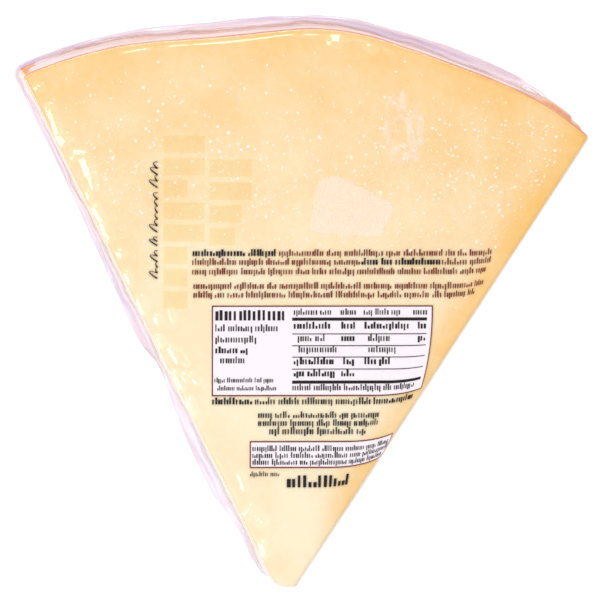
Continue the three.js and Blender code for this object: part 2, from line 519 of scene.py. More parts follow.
# Where the film stands up in small tents along its left edge and its rim. Each is a ridge, given by how
# far its ends are along the edge and in from it, in millimetres, and by the width of its steep side.
# Along the left edge the distance is from the rind, and along the rim it is from the rim's middle, to the
# right.
LEFT_TENTS = (
    (3.8, 4.8, 1.6, 2.4, 1.1), (9.4, 11.4, 2.6, 2.1, 1.4), (11.2, 16.4, 2.2, 1.5, 1.2),
    (17.2, 19.6, 1.8, 2.1, 1.8), (23.0, 24.4, 2.4, 4.8, 1.8), (24.4, 29.4, 4.8, 4.3, 1.9),
    (29.4, 32.8, 4.2, 3.3, 1.1), (33.0, 34.4, 1.5, 1.2, 0.8), (37.2, 41.2, 1.3, 1.8, 1.2),
    (41.8, 43.8, 1.4, 1.1, 1.1), (44.4, 46.0, 1.3, 1.3, 1.5), (49.8, 51.2, 2.0, 2.3, 1.2),
    (55.4, 58.0, 1.2, 1.1, 0.9), (62.4, 66.0, 1.0, 0.5, 0.7), (62.6, 66.2, 1.9, 1.0, 0.9),
    (68.5, 70.2, 3.1, 3.0, 1.1), (73.3, 75.4, 1.2, 1.0, 1.4), (77.0, 81.2, 2.7, 3.0, 0.9),
    (78.8, 82.6, 4.1, 4.6, 0.8), (83.2, 87.4, 0.9, 1.3, 1.2), (84.6, 86.6, 2.6, 2.7, 1.2),
    (85.4, 87.8, 4.4, 5.2, 1.2), (91.0, 94.6, 1.2, 0.8, 1.1), (68.4, 71.2, 6.9, 6.4, 0.7),
    (113.0, 116.8, 4.4, 4.0, 0.9), (121.8, 126.6, 2.6, 4.8, 2.4), (131.2, 134.0, 1.8, 1.4, 1.2),
)
RIM_TENTS = (
    (-49.0, -43.0, 1.9, 1.7, 0.45), (-37.7, -33.5, 1.6, 1.5, 0.41), (-31.6, -26.0, 1.5, 1.5, 0.45),
    (-25.4, -14.5, 1.6, 1.5, 0.52), (-13.9, -6.2, 1.5, 1.3, 0.49), (-3.7, -0.3, 1.5, 1.5, 0.45),
    (3.2, 5.4, 2.8, 2.8, 1.9), (6.0, 9.0, 2.9, 1.8, 0.3), (10.4, 11.4, 1.6, 1.6, 0.4),
    (12.4, 14.8, 2.4, 2.8, 0.9), (17.4, 18.9, 2.2, 2.4, 0.4),
)
TENT_SLOPE = 0.42
TENT_BACK = 2.2 * MM
TENT_END = 0.9 * MM


def raised(along, inwards, ridges):
    """How high the film stands over ridges of the kind that LEFT_TENTS and RIM_TENTS give."""
    height = np.zeros_like(along)
    for start, end, low, high, width in ridges:
        start, end, low, high, width = (value * MM for value in (start, end, low, high, width))
        length = math.hypot(end - start, high - low)
        direction = ((end - start) / length, (high - low) / length)
        run = (along - start) * direction[0] + (inwards - low) * direction[1]
        side = (inwards - low) * direction[0] - (along - start) * direction[1]
        front = np.clip(1 + side / width, 0, 1)
        back = np.clip(1 - side / TENT_BACK, 0, 1) ** 2
        ends = smooth(run, -TENT_END, 0) * (1 - smooth(run, length, length + TENT_END))
        height = np.maximum(height, TENT_SLOPE * width * np.where(side < 0, front, back) * ends)
    return height


def tents(x, y):
    """How high the film stands in its tents."""
    corner = rind_radius(-HALF_ANGLE)
    along = COSINE * (corner * COSINE - y) + SINE * (x + corner * SINE)
    left = raised(along, from_left(x, y), LEFT_TENTS)
    rim = raised(np.arctan2(x, y) * WHEEL_RADIUS, from_rind(x, y), RIM_TENTS)
    return np.maximum(left, rim)


def upper_film(x, y):
    """Height of the film over a place in the plan, on the upper face."""
    waves = 0
    for rise, reach_x, reach_y, phase in FACE_WAVES:
        waves = waves + rise * np.sin(x / reach_x + y / reach_y + phase)
    inside = from_nearest_wall(x, y)
    return WEDGE_HEIGHT + waves * smooth(inside, 0, 5 * MM) + tents(x, y) * smooth(inside, 0, 0.6 * MM)


# Where the film has come away from the upper face: corners clockwise in print coordinates, in
# millimetres, how much it hides, and how far it is broken up into wisps.
LOOSE_PATCHES = (
    (((10.1, 109.5), (15.6, 106.5), (29.6, 104.8), (28.4, 101.0), (24.6, 91.5), (15.1, 91.2), (6.1, 93.2),
      (7.6, 103.0)), 0.7, 0.2),
    (((25.0, 126.0), (30.0, 128.5), (36.0, 121.0), (34.5, 110.0), (27.5, 108.5), (24.8, 115.0)), 0.9, 1.0),
)


def polygon_depth(u, v, corners):
    """How far places are inside a convex polygon, given by its corners in turn, clockwise."""
    depth = np.full(u.shape, np.inf)
    for (u0, v0), (u1, v1) in zip(corners, corners[1:] + corners[:1]):
        length = math.hypot(u1 - u0, v1 - v0)
        depth = np.minimum(depth, ((u - u0) * (v1 - v0) - (v - v0) * (u1 - u0)) / length)
    return depth


# How ragged the patches' ends are: size and reach of their lumps, in millimetres, and the seed of their
# noise.
PATCH_RAGS = ((2.3, 0.9, 5.0), (0.8, 0.35, 9.0))


def loose_cover(u, v, corners, strength, wisps):
    """How far a loose patch hides what is under it at places given in millimetres."""
    ragged = sum(grain(u / size, v / size, seed) * reach for size, reach, seed in PATCH_RAGS)
    inside = polygon_depth(u, v, corners) + ragged
    warp = 1.6 * grain(u / 4.5, v / 4.5, 7.0)
    streaks = 0.25 + 1.3 * grain((u + 0.35 * v) / 0.9 + warp, v / 4.5 + warp, 2.0)
    streaks = streaks + 0.5 * grain(u / 1.3, v / 1.3, 4.0)
    return smooth(inside, 0, 0.7) * (1 - wisps + wisps * np.clip(streaks, 0, 1)) * strength


# The cheese.


def cheese_out(wall):
    """How far the cheese lies outside the solid's wall."""
    return FILM_OUT[wall] - WALL_GAP


def select_tip_corner(piece):
    """Selects, in edit mode, the upright edge where the left cut meets the tip."""
    bpy.ops.mesh.select_mode(type="EDGE")
    bpy.ops.mesh.select_all(action="DESELECT")
    bpy.ops.object.mode_set(mode="OBJECT")
    places = [vertex.co for vertex in piece.data.vertices]
    for edge in piece.data.edges:
        start, end = (places[i] for i in edge.vertices)
        at_left_of_tip = start.x < AXIS[0] and max(start.y, end.y) < AXIS[1] + 2 * TIP_CUT
        edge.select = bool(at_left_of_tip and abs(start.z - end.z) > WEDGE_HEIGHT / 2)
    bpy.ops.object.mode_set(mode="EDIT")


WHEEL_STEPS = 480  # sides of the disc that stands for the wheel


def cheese_blank(mesh_size, broken_edge):
    """A disc of the wheel, bisected by the two cuts and across the tip, with its edges rounded off."""
    height = WEDGE_HEIGHT - TOP_GAP - BOTTOM_GAP
    piece = add_primitive(
        bpy.ops.mesh.primitive_cylinder_add,
        vertices=WHEEL_STEPS,
        radius=WHEEL_RADIUS + cheese_out("rind"),
        depth=height,
        location=(AXIS[0], AXIS[1], BOTTOM_GAP + height / 2),
    )
    bpy.ops.object.transform_apply(location=True, rotation=True, scale=True)
    cuts = (
        (Vector((COSINE, -SINE, 0)), cheese_out("right")),
        (Vector((-COSINE, -SINE, 0)), cheese_out("left")),
        (Vector((0, -1, 0)), cheese_out("tip") - TIP_CUT),
    )
    bpy.ops.object.mode_set(mode="EDIT")
    for outward, distance in cuts:
        at = Vector(AXIS) + outward * distance
        bpy.ops.mesh.select_all(action="SELECT")
        bpy.ops.mesh.bisect(plane_co=at, plane_no=outward, use_fill=True, clear_outer=True)
    select_tip_corner(piece)
    bpy.ops.mesh.bevel(offset=CORNER_RADII["left"], segments=6, affect="EDGES")
    bpy.ops.mesh.select_all(action="DESELECT")
    bpy.ops.mesh.edges_select_sharp(sharpness=30 * DEGREE)
    bpy.ops.mesh.bevel(offset=broken_edge, segments=3, affect="EDGES")
    bpy.ops.mesh.select_mode(type="VERT")
    bpy.ops.object.mode_set(mode="OBJECT")
    apply_modifier(piece, "REMESH", mode="VOXEL", voxel_size=mesh_size)
    return piece


# Relief of the rind and of the paste: the size and height of its lumps, in millimetres.
RIND_RELIEF = ((5, 0.10), (2.1, 0.06))
PASTE_RELIEF = ((3.3, 0.03), (1.6, 0.02))
SETTLED = 0.03  # how far in the relief lies, in millimetres, so that it stays under the film
# The painted shade along the right cut fades towards the tip: how near to the wheel's axis that starts,
# and its rate.
SHADE_FADE_WITHIN = 30 * MM
SHADE_FADE_RATE = 0.35


def relief(places, lumps):
    return sum(grain(*(places / size).T) * height for size, height in lumps)


def press_cheese(piece):
    """Gives the blank the rind's curve and belly, the cut's waves and the relief of paste and rind."""
    points = get_points(piece) - AXIS
    x, y, z = points.T
    radius, turn = np.hypot(x, y), np.arctan2(x, y)
    out = cheese_out("rind")
    stretch = (rind_radius(turn) + out) / (WHEEL_RADIUS + out)
    belly = rind_belly(z) * smooth(radius, 0.85 * WHEEL_RADIUS, WHEEL_RADIUS)
    lumps = rind_bulge(turn, z) * smooth(radius, 0.96 * WHEEL_RADIUS, 0.995 * WHEEL_RADIUS)
    points[:, :2] = polar(radius * stretch + belly + lumps, turn)
    x, y, z = points.T
    upper = upper_film(x, y) - tents(x, y) - WEDGE_HEIGHT
    points[:, 2] = z + upper * smooth(z, 0.9 * WEDGE_HEIGHT, WEDGE_HEIGHT - TOP_GAP)
    set_points(piece, points + AXIS)
    depth = rind_radius(turn) + out + rind_belly(z) + rind_bulge(turn, z) - np.hypot(x, y)
    on_rind = 1 - smooth(depth, 0.3 * MM, 1.2 * MM)
    normals = np.empty(points.size)
    piece.data.vertices.foreach_get("normal", normals)
    places = points / MM
    uneven = relief(places, RIND_RELIEF) * on_rind + relief(places, PASTE_RELIEF) * (1 - on_rind) - SETTLED
    set_points(piece, points + AXIS + normals.reshape(-1, 3) * uneven[:, None] * MM)
    set_attribute(piece, "under_rind", depth / MM)
    set_attribute(piece, "from_axis", np.hypot(x, y) / MM)
    # The right cut's painted shade goes by this distance, made larger near the tip so that the shade fades
    # there.
    shade_fade = SHADE_FADE_RATE * np.maximum(0, SHADE_FADE_WITHIN - y)
    set_attribute(piece, "from_right", (from_right(x, y) + shade_fade) / MM)
    set_attribute(piece, "from_left", from_left(x, y) / MM)
    u, v = plan_to_print(x, y)
    uncovered = sum(loose_cover(u / MM, v / MM, *patch) for patch in LOOSE_PATCHES)
    set_attribute(piece, "uncovered", uncovered * (z > WEDGE_HEIGHT / 2))


# What pales the paste, as shares that multiply: the attribute that it goes by, the millimetres there
# where the share starts and stops changing, and the share at each. Beyond 1 the paste is at its palest.
PALENESS = (
    ("from_axis", 45, 150, 1, 0.36),
    # The two from_right rows are painted shade: the paste deepens towards the right cut, the side away
    # from the key light.
    ("from_right", 0, 120, 0.95, 1.15),
    ("from_right", 0, 9, 0.35, 1),
    ("from_left", 0, 16, 0.95, 1),
    ("under_rind", 0, 14, 0.8, 1),
    ("under_rind", 0.4, 1.8, 0.5, 1),
)


# Mottle: its features' size, its detail, the noise where it starts and ends, and what it adds there.
PASTE_MOTTLE = ((16 * MM, 2, 0.3, 0.7, -0.1, 0.1), (1.6 * MM, 3, 0.3, 0.7, -0.05, 0.05))
RIND_MOTTLE = ((15 * MM, 5, 0.3, 0.75, 0, 0.7), (1.4 * MM, 4, 0.3, 0.7, 0, 0.3))


def cheese_material(settings):
    """Hard cooked sheep's milk paste, cut with a wire, under a dry natural rind.

    The paste is close and waxy and glows a little from inside. It is pale in the middle of the wheel and
    deepens towards the rind. It is deeper along the right cut too, which is painted shade. The rind is
    thin, matt and terracotta, with darker, cloudy patches and a fine dry grain over them.
    """
    material, tree = new_material("aged_sheep_cheese")
    paleness = 1
    for name, *span in PALENESS:
        ramp = dict(zip(RAMP, span))
        ramp["Value"] = add_node(tree, "Attribute", output="Fac", attribute_name=name)
        share = add_node(tree, "MapRange", ramp, interpolation_type="SMOOTHSTEP")
        paleness = add_node(tree, "Math", {0: paleness, 1: share}, operation="MULTIPLY")
    depth = add_node(tree, "Math", {0: mottle(tree, PASTE_MOTTLE), 1: paleness}, operation="SUBTRACT")
    deepness = add_node(tree, "Math", {0: depth, 1: 1}, operation="ADD")
    paste = {SHARE: deepness, COLOUR_A: settings.pale_paste, COLOUR_B: settings.deep_paste_and_shade}
    paste = add_node(tree, "Mix", paste, MIXED, data_type="RGBA")
    # Where no film clings to it, the paste is dry and whitish.
    uncovered = add_node(tree, "Attribute", output="Fac", attribute_name="uncovered")
    paste = {SHARE: uncovered, COLOUR_A: paste, COLOUR_B: settings.dry_paste}
    paste = add_node(tree, "Mix", paste, MIXED, data_type="RGBA")
    rind = {SHARE: mottle(tree, RIND_MOTTLE), COLOUR_A: settings.rind, COLOUR_B: settings.dark_rind}
    rind = add_node(tree, "Mix", rind, MIXED, data_type="RGBA")
    under_rind = add_node(tree, "Attribute", output="Fac", attribute_name="under_rind")
    ramp = {"Value": under_rind, "From Min": 0.05, "From Max": 0.45, "To Min": 1, "To Max": 0}
    on_rind = add_node(tree, "MapRange", ramp, interpolation_type="SMOOTHSTEP")
    both = {SHARE: on_rind, COLOUR_A: paste, COLOUR_B: rind}
    ramp = {"Value": on_rind, "To Min": 0.5, "To Max": 0.85}
    surface = {
        "Base Color": add_node(tree, "Mix", both, MIXED, data_type="RGBA"),
        "Roughness": add_node(tree, "MapRange", ramp, interpolation_type="SMOOTHSTEP"),
        "Normal": fine_bump(tree, 0.7 * MM, 4, 0.35, 0.1 * MM),
        "Subsurface Weight": 0.12,
        "Subsurface Radius": (1, 0.6, 0.3),
        "Subsurface Scale": 2 * MM,
        "IOR": 1.45,
    }
    add_node(tree, "OutputMaterial", {"Surface": add_node(tree, "BsdfPrincipled", surface)})
    return material


class CHEESE_OT_cut_wedge(bpy.types.Operator):
    """Cut the wedge of cheese out of its wheel"""

    bl_idname = "cheese.cut_wedge"
    bl_label = "Cheese"

    def execute(self, context):
        settings = context.scene.cheese_settings
        piece = cheese_blank(settings.mesh_size, settings.broken_edge)
        press_cheese(piece)
        finish(piece, "cheese", cheese_material(settings))
        return {"FINISHED"}


# The film.

WALL_STEPS = {"right": 96, "rind": 236, "left": 350, "tip": 8}
CORNER_STEPS = 9
LOWER_SHARES = (0, 0.3, 0.62, 0.9)
EDGE_STEPS = 7
LOWER_WALL_STEPS = 13
UPPER_WALL_STEPS = 24
FIN_ROOT = 1.6 * MM
# The fin from its root to its edge, as shares of its reach.
FIN_SHARES = (0.03, 0.1, 0.2, 0.32, 0.45, 0.58, 0.72, 0.86, 1)
# The rows of the upper face, as shares of the way from its hub to its rim.
UPPER_SHARES = (
    *(1 - 0.0045 * i for i in range(1, 15)),
    *(0.937 - 0.009 * i for i in range(1, 27)),
    *(0.68, 0.63, 0.56, 0.47, 0.37, 0.26, 0.14, 0),
)
FIN_BLUR = np.linspace(-0.015, 0.015, 9)  # places over which the fin's profile is evened out
# Where along the walls the film turns from a single, clear layer to crumpled film, in the fin and over it.
FIN_CRUMPLES = (1.115, 1.14)
WALL_CRUMPLES = (1.12, 1.17)
# Where crumpled film is drawn in over the tip, and gathered at the rind's left end.
TIP_GATHER = (2.95, 3.0, 3.97, 4.0)
CORNER_GATHER = (1.9, 1.97, 2.03, 2.15)
# The film's ripples: their size along the wall, their size up it, and the seed of their noise.
CREASES = (4.5 * MM, 30 * MM, 1.7)
LONG_FOLDS = (26 * MM, 2.6 * MM, 5.9)
SHORT_FOLDS = (9 * MM, 1.3 * MM, 7.7)
DRAPE = (14 * MM, 18 * MM, 2.3)
# The fin's ripples. Their size up the fin is in shares of its reach.
FIN_WAVES, FIN_WAVE_HEIGHT = (11 * MM, 1, 4.4), 1.1 * MM
FIN_FOLDS, FIN_FOLD_HEIGHT = (22 * MM, 1, 6.2), 0.35 * MM
# How jagged the fin's edge is: shares of its reach, lengths along it, and seeds.
FIN_JAGS = ((0.05, 5 * MM, 3.1), (0.03, 1.7 * MM, 8.3))
# Seeds of the streaks in the film: what is milky and what is lilac on the walls and in the fin, where
# crumpled film ends, and the marks of stretched film.
WALL_MILKY, WALL_LILAC, FIN_MILKY, FIN_LILAC, RAGGED_END, STRETCHED = 3.3, 6.1, 2.9, 9.4, 8.8, 4.9


def fin_reach(plan):
    places, reaches = zip(*FIN_PROFILE)
    reach = sum(np.interp(plan.place + shift, places, reaches) for shift in FIN_BLUR) / len(FIN_BLUR) * MM
    jagged = sum(depth * plan.ripple(0, length, MM, seed) for depth, length, seed in FIN_JAGS)
    return reach * within(plan.place, FIN_SPAN) * (1 + jagged)


def fin_height(plan):
    return FIN_HEIGHT + FIN_WANDER * np.sin(math.pi * FIN_WANDER_WAVES * plan.place)


def wall_relief(plan, z, wrinkle_depth):
    """How far the film stands out of the plan at a height, without its fin."""
    sealed = within(plan.place, FIN_SPAN)
    near_fin = np.exp(-np.abs(z - FIN_HEIGHT) / PLEAT_FADE)
    around = 2 * math.pi * plan.around
    pleats = sum(depth * np.sin(around / length + phase) for length, depth, phase in PLEATS)
    creases = (1 - np.abs(plan.ripple(z, *CREASES)) * 2.6) * near_fin
    folds = plan.ripple(z, *LONG_FOLDS) + 0.5 * plan.ripple(z, *SHORT_FOLDS)
    drape = plan.ripple(z, *DRAPE)
    gathered = sealed * (pleats * near_fin + wrinkle_depth * (0.7 * creases + 0.75 * folds))
    stretched = (1 - sealed) * wrinkle_depth * (0.25 + 0.35 * drape + 0.12 * folds)
    wrinkles = np.maximum(gathered + stretched, -0.6 * WALL_GAP)
    return (rind_belly(z) + rind_bulge(plan.turn, z)) * within(plan.place, RIND_SPAN) + wrinkles


class Film:
    """The film's points in rows round the plan, from its lower face's hub to its upper face's.

    With them go two shares for each point: milky is 1 where crumpled film hides what is behind it, and
    lilac is 1 where its folds are lilac and 0 where they are white.
    """

    def __init__(self, plan, settings):
        self.plan = plan
        self.settings = settings
        self.sealed = within(plan.place, FIN_SPAN)
        self.seam = fin_height(plan)
        self.rows, self.milky, self.lilac = [], [], []
        self.add_lower_half()
        self.add_fin()
        self.add_upper_half()

    def add_row(self, flat, z, milky=0.0, lilac=0.0):
        count = len(flat)
        self.rows.append(np.column_stack([flat, np.broadcast_to(z, count)]))
        self.milky.append(np.clip(np.broadcast_to(milky, count), 0, 1))
        self.lilac.append(np.clip(np.broadcast_to(lilac, count), 0, 1))

    def add_wall_row(self, out, z, milky=0.0, lilac=0.0):
        self.add_row(self.plan.at + self.plan.out * np.asarray(out)[:, None], z, milky, lilac)

    def relief(self, z):
        return wall_relief(self.plan, z, self.settings.wrinkle_depth)

    def streaks(self, z, seed):
        """Long folds along the wall, as shares round 0.5."""
        long = self.plan.ripple(z, 24 * MM, 1.6 * MM, seed)
        short = self.plan.ripple(z, 7 * MM, MM, seed)
        return 0.5 + 0.75 * long + 0.35 * short

    def stretch_marks(self, z):
        """Faint long marks in the taut film of the walls that have no fin."""
        return (1 - self.sealed) * 0.4 * np.clip(self.streaks(z, STRETCHED) - 0.55, 0, 0.6)

    def add_lower_half(self):
        plan = self.plan
        hub = np.array([0, FACE_HUB])
        rim = plan.at - plan.out * plan.edge[:, None]
        for share in (*LOWER_SHARES, 1):
            self.add_row(hub + (rim - hub) * share, 0)
        for step in range(1, EDGE_STEPS + 1):
            turned = math.pi / 2 * step / EDGE_STEPS
            z = plan.edge * (1 - math.cos(turned))
            self.add_wall_row(self.relief(z) * math.sin(turned) - plan.edge * (1 - math.sin(turned)), z)
        for step in range(1, LOWER_WALL_STEPS + 1):
            z = plan.edge + (self.seam - FIN_ROOT - plan.edge) * step / LOWER_WALL_STEPS
            milky = np.maximum(self.sealed * 0.5 * self.streaks(z, WALL_MILKY) ** 2, self.stretch_marks(z))
            self.add_wall_row(self.relief(z), z, milky, self.streaks(z, WALL_LILAC))

    def add_fin(self):
        """Adds the rows of the fin, out along its lower side and back along its upper side."""
        plan = self.plan
        reach = fin_reach(plan)
        gathered = smooth(plan.place, *FIN_CRUMPLES)
        on_rind = plan.place < 2
        sides = [(share, -1) for share in FIN_SHARES] + [(share, 1) for share in reversed(FIN_SHARES)]
        for index, (share, side) in enumerate(sides):
            wave = plan.ripple(share, *FIN_WAVES) * FIN_WAVE_HEIGHT * share
            fold = plan.ripple(share * 5, *FIN_FOLDS) * FIN_FOLD_HEIGHT
            fillet = FIN_ROOT * math.exp(-share / 0.07)
            thin = side * (self.settings.fin_thickness / 2 + fillet) + wave + fold * min(share * 3, 1)
            spread = FIN_ROOT * (2 * (index + 0.5) / len(sides) - 1)
            z = self.seam + thin * self.sealed + spread * (1 - self.sealed)
            across = reach * share
            streaks = np.clip(self.streaks(across * 1.6, FIN_MILKY), 0, 1)
            milky = np.where(on_rind, 0.34 + 0.5 * streaks, 0.55 + 0.15 * streaks)
            milky = (milky + 0.15 * smooth(share, 0.8, 1)) * gathered
            out = self.relief(self.seam) * (1 - share) + across
            self.add_wall_row(out, z, self.sealed * milky, 0.3 + 0.7 * self.streaks(across, FIN_LILAC))

    def add_upper_half(self):
        plan = self.plan
        hub = np.array([0, FACE_HUB])
        start = self.seam + FIN_ROOT
        drawn_in = 0.35 * within(plan.place, TIP_GATHER)
        for step in range(UPPER_WALL_STEPS):
            share = step / UPPER_WALL_STEPS
            z = start + (WEDGE_HEIGHT - plan.edge - start) * share
            ragged = self.streaks(z, RAGGED_END)
            gathered = self.sealed * smooth(plan.place + 0.03 * ragged, *WALL_CRUMPLES)
            # Towards the upper edge the film grows milky: partly crumpled film, partly a painted
            # reflection, the whitish band that the film's rounded edge mirrors.
            milky = 0.3 * self.streaks(z, WALL_MILKY) ** 2 + 0.8 * smooth(share + 0.5 * ragged, 0.65, 1.2)
            milky = milky + 0.6 * within(plan.place, CORNER_GATHER)
            milky = np.maximum(gathered * milky, drawn_in + self.stretch_marks(z))
            self.add_wall_row(self.relief(z), z, milky, 0.15 + 0.3 * self.streaks(z, WALL_LILAC))
        for step in range(EDGE_STEPS + 1):
            turned = math.pi / 2 * step / EDGE_STEPS
            z = WEDGE_HEIGHT - plan.edge * (1 - math.sin(turned))
            out = self.relief(z) * math.cos(turned) - plan.edge * (1 - math.cos(turned))
            # Round the upper edge the milky share is partly crumpled film and partly a painted reflection
            # of the rounded edge's whitish sheen.
            milky = np.where(plan.place < 2, 0.8 * math.cos(turned) ** 3, 0.7 * math.cos(turned))
            self.add_wall_row(out, z, np.maximum(gathered * milky, drawn_in * math.cos(turned)))
        rim = plan.at - plan.out * plan.edge[:, None]
        for share in UPPER_SHARES:
            flat = hub + (rim - hub) * share
            self.add_row(flat, upper_film(flat[:, 0], flat[:, 1]))


def film_material(settings):
    """Clear shrink film, blown thin and shrunk on with hot air.

    It is glossy, so it shows the lights as small sharp streaks, and it reflects most at a flat angle,
    where it hides the wall behind it. Its two sides reflect about 8 percent together. Where it is
    crumpled it is milky, and rougher.
    """
    material, tree = new_material("clear_shrink_film")
    facing = add_node(tree, "LayerWeight", {"Blend": 0.5}, "Facing")
    glancing = add_node(tree, "Math", {0: facing, 1: 5}, operation="POWER")
    reflected = add_node(tree, "Math", {0: glancing, 1: 0.55, 2: 0.08}, operation="MULTIPLY_ADD")
    crumpled = add_node(tree, "Attribute", output="Fac", attribute_name="milky")
    in_folds = add_node(tree, "Attribute", output="Fac", attribute_name="lilac")
    folds = {SHARE: in_folds, COLOUR_A: settings.haze, COLOUR_B: settings.lilac}
    folds = add_node(tree, "Mix", folds, MIXED, data_type="RGBA")
    clear = add_node(tree, "BsdfTransparent", {"Color": settings.tint})
    # The milky sheet's glow of 0.12 is painted light: an emission for the light bounced between the film's
    # layers and the paste.
    body = add_node(tree, "MixShader", {0: crumpled, 1: clear, 2: milky_sheet_and_painted_light(tree, folds, 0.35, 0.12)})
    roughness = {0: crumpled, 1: 0.45, 2: settings.roughness}
    gloss = {
        "Roughness": add_node(tree, "Math", roughness, operation="MULTIPLY_ADD"),
        # Creases about 1.5 mm apart, finer than the mesh holds.
        "Normal": fine_bump(tree, 1.5 * MM, 2, 0.2, 0.05 * MM),
    }
    shader = {0: reflected, 1: body, 2: add_node(tree, "BsdfGlossy", gloss)}
    add_node(tree, "OutputMaterial", {"Surface": add_node(tree, "MixShader", shader)})
    return material


class CHEESE_OT_wrap_film(bpy.types.Operator):
    """Wrap the wedge in its film, with a sealed fin round the rind and the left wall"""

    bl_idname = "cheese.wrap_film"
    bl_label = "Film"

    def execute(self, context):
        settings = context.scene.film_settings
        plan = Plan(WALL_STEPS, CORNER_STEPS)
        film = Film(plan, settings)
        rows = np.array(film.rows)
        row_count, column_count = rows.shape[:2]
        piece = add_grid(column_count, row_count - 1)
        flat = get_points(piece)
        column = np.rint((flat[:, 0] + 0.5) * column_count).astype(int) % column_count
        row = np.rint((flat[:, 1] + 0.5) * (row_count - 1)).astype(int)
        set_points(piece, rows[row, column] + AXIS)
        set_attribute(piece, "milky", np.array(film.milky)[row, column])
        set_attribute(piece, "lilac", np.array(film.lilac)[row, column])
        turn_faces_out(piece, merge=0.005 * MM)
        finish(piece, "film", film_material(settings))
        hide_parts("sealed_wedge")
        return {"FINISHED"}


# The print. It is modelled flat, in print coordinates and depth, and then laid on the film's inner side.

# How the film is drawn in along the right wall: how near to the wall that starts, and how fast it grows.
PULL_REACH = 9 * MM
PULL = 0.024 / MM
INK = 0.04 * MM  # thickness of the ink
PANEL_UNDER = 0.1 * MM  # how far the panels lie under the type on them
BLOCK_UNDER = 0.04 * MM  # and the pale blocks


def lay_on_film(flat):
    """Lays points (u, v, -depth) on the upper face, drawn in at the right wall and over its edge."""
    x, y = print_to_plan(flat[:, 0], flat[:, 1])
    depth = -flat[:, 2]
    pulled = PULL * np.maximum(0, PULL_REACH - from_right(x, y)) ** 2
    x = x - pulled * COSINE
    y = y + pulled * SINE
    edge = EDGE_RADII["right"]
    past = np.maximum(0, edge - FILM_OUT["right"] - from_right(x, y))
    turned = np.minimum(past / edge, math.pi / 2)
    down = np.maximum(0, past - edge * math.pi / 2)
    shift = past - edge * np.sin(turned) + depth * np.sin(turned)
    z = upper_film(x, y) - edge * (1 - np.cos(turned)) - down - depth * np.cos(turned)
    x = x - shift * COSINE
    y = y + shift * SINE
    return np.column_stack([x, y, z]) + AXIS


def flat_mark(columns, rows):
    """Points and faces of one flat, closed print mark, 1 by 1 by 1, to be copied at its place and size."""
    piece = add_grid(columns, rows)
    apply_modifier(piece, "SOLIDIFY", thickness=1, offset=-1)
    return take_shape(piece)


class Stamps(Copies):
    """Copies of flat bars of ink at a depth under the film. Their boxes are in millimetres."""

    def __init__(self, depth):
        super().__init__()
        self.depth = depth
        self.marks = {}

    def add_bar(self, left, right, low, high, columns=1, rows=1):
        """Adds a bar with enough columns and rows of faces to follow the film."""
        if (columns, rows) not in self.marks:
            self.marks[columns, rows] = flat_mark(columns, rows)
        points, faces = self.marks[columns, rows]
        u = (left + right) / 2 + points[:, 0] * (right - left)
        v = (low + high) / 2 + points[:, 1] * (high - low)
        depth = self.depth - points[:, 2] * INK
        self.add(np.column_stack([u * MM, v * MM, -depth]), faces)

    def add_outline(self, left, right, low, high):
        """Adds four bars along the inside of a box."""
        inner_low, inner_high = low + OUTLINE, high - OUTLINE
        self.add_bar(left, right, inner_high, high, columns=36)
        self.add_bar(left, right, low, inner_low, columns=36)
        self.add_bar(left, left + OUTLINE, inner_low, inner_high, rows=24)
        self.add_bar(right - OUTLINE, right, inner_low, inner_high, rows=24)


def ink_material(name, colour):
    """Flexographic ink on the inside of the film: even and satin, with a printed solid's faint mottle."""
    material, tree = new_material(name)
    place = add_node(tree, "TexCoord", output="Object")
    # Mottle about 0.9 mm across.
    speckle = add_node(tree, "TexNoise", {"Scale": 1 / (0.9 * MM), "Detail": 2, "Vector": place})
    share = add_node(tree, "MapRange", {"Value": speckle, "To Min": 0.93, "To Max": 1})
    mixed = {SHARE: share, COLOUR_A: (0, 0, 0), COLOUR_B: colour}
    mixed = add_node(tree, "Mix", mixed, MIXED, data_type="RGBA")
    shader = add_node(tree, "BsdfPrincipled", {"Base Color": mixed, "Roughness": 0.45, "IOR": 1.45})
    add_node(tree, "OutputMaterial", {"Surface": shader})
    return material


def pale_ink_material(settings):
    """A thin straw-yellow ink. It tints what shows through it, and scatters a little light itself."""
    material, tree = new_material("pale_straw_flexo_ink")
    through = add_node(tree, "BsdfTransparent", {"Color": settings.pale_ink})
    ink = add_node(tree, "BsdfDiffuse", {"Color": settings.pale_ink})
    shader = add_node(tree, "MixShader", {0: 0.05, 1: through, 2: ink})
    add_node(tree, "OutputMaterial", {"Surface": shader})
    return material


# Boxes are left, right, low and high in print coordinates, in millimetres.
FACTS_PANEL = (-18.0, 37.35, 51.75, 74.4)
NOTE_PANEL = (-8.5, 30.5, 33.75, 40.5)
RULES_LEFT, RULES_RIGHT = 2.1, 35.85
# Rules: their heights up the print, and their width.
RULES = (((71.0, 55.25), 0.75), ((67.3, 64.35, 61.5, 58.5), 0.2))
OUTLINE = 0.3

